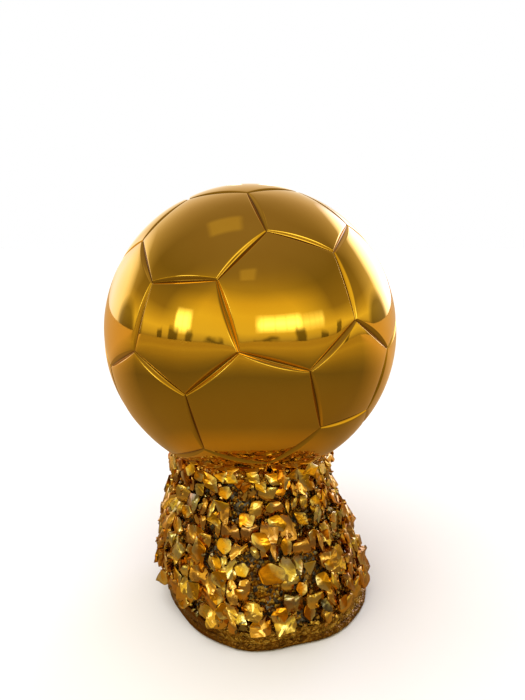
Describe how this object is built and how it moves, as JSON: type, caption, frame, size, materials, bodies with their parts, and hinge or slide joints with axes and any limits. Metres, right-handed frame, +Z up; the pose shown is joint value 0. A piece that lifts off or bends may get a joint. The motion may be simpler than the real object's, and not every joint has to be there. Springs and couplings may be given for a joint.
{
  "type": "football trophy",
  "caption": "Mirror-gold football with chased panel seams, seated on a rock-shaped base clad in gilded chips.",
  "frame": {"origin": "on the ball's vertical axis, in the plane of the felt underside that rests on the table", "axes": "+Z up, +X to the viewer's right, -Y towards the viewer who faces the front of the trophy"},
  "size_m": [0.176, 0.176, 0.2601],
  "materials": {
    "ball_gold": "mirror polished",
    "inner_brass": "as turned",
    "chip_gold": "polished, facets",
    "grit_gold": "crumpled",
    "foot_bronze": "satin",
    "bedding": "cured resin",
    "core_resin": "rough cast",
    "fixing_steel": "bright zinc",
    "ballast_iron": "rough",
    "felt": "felt"
  },
  "bodies": {
    "root": {"ball_upper_shell": "ball_gold", "ball_lower_shell": "ball_gold", "ball_joint_sleeve": "inner_brass", "ball_boss": "inner_brass", "boss_nut": "fixing_steel", "tie_stud": "fixing_steel", "locating_pin": "fixing_steel", "seat_ring": "bedding", "base_core": "core_resin", "chips_course_1": "chip_gold", "chips_course_2": "chip_gold", "chips_course_3": "chip_gold", "chips_course_4": "chip_gold", "chips_course_5": "chip_gold", "chips_course_6": "chip_gold", "chips_course_7": "chip_gold", "chips_course_8": "chip_gold", "collar_grit": "grit_gold", "foil_band": "grit_gold", "plinth_plate": "foot_bronze", "plate_screws": "fixing_steel", "ballast_disc": "ballast_iron", "clamp_washer": "fixing_steel", "spring_washer": "fixing_steel", "lock_nut": "fixing_steel", "felt_pad": "felt"}
  },
  "joints": []
}
